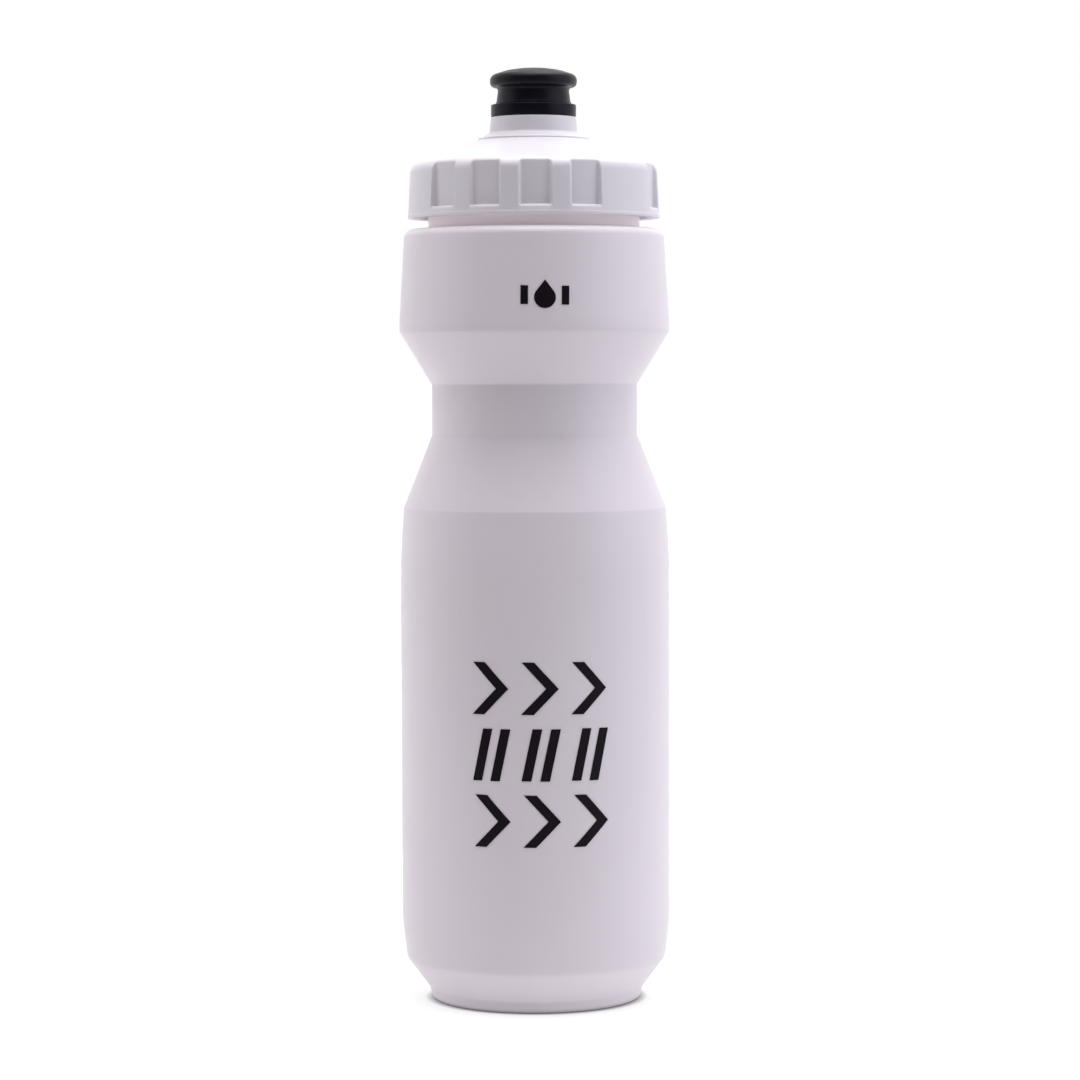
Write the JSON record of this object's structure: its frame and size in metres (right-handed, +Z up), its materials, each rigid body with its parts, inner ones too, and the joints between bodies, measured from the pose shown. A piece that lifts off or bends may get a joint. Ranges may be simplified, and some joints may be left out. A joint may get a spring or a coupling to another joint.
{
  "type": "water bottle",
  "caption": "Squeeze water bottle with a waist groove for a bicycle cage, a threaded screw cap with grip pockets and a push-pull drinking nozzle.",
  "frame": {"origin": "middle of the bottle's foot, on the plane it stands on", "axes": "+Z up along the bottle's axis, -Y towards the printed front, +X to the right seen from the front"},
  "size_m": [0.0742, 0.0741, 0.2563],
  "materials": {
    "bottle": "satin blown LDPE",
    "ink": "screen-printed ink",
    "gasket": "soft silicone",
    "cap": "moulded PP, fine satin",
    "plug": "moulded PP",
    "stem": "moulded PP",
    "o_ring": "nitrile rubber",
    "collar": "semi-gloss",
    "mouthpiece": "smooth TPE with a low sheen"
  },
  "bodies": {
    "bottle": {"bottle_body": "bottle", "front_print": "ink", "shoulder_print": "ink"},
    "gasket": {"cap_gasket": "gasket"},
    "cap": {"screw_cap": "cap", "plug_post": "plug"},
    "nozzle": {"nozzle_stem": "stem", "stem_o_ring": "o_ring", "nozzle_collar": "collar", "mouthpiece": "mouthpiece"}
  },
  "joints": [
    {"name": "cap_lift", "type": "slide", "parent": "bottle", "child": "gasket", "axis": [0, 0, 1], "range_m": [0, 0.05]},
    {"name": "cap_turn", "type": "hinge", "parent": "gasket", "child": "cap", "pos_m": [0, 0, 0.22], "axis": [0, 0, 1], "range_deg": [0, 1800]},
    {"name": "nozzle_pull", "type": "slide", "parent": "cap", "child": "nozzle", "axis": [0, 0, 1], "range_m": [0, 0.008]}
  ],
  "couplings": [
    {"joint": "cap_lift", "follows": "cap_turn", "m_per_rad": 0.0015915}
  ]
}
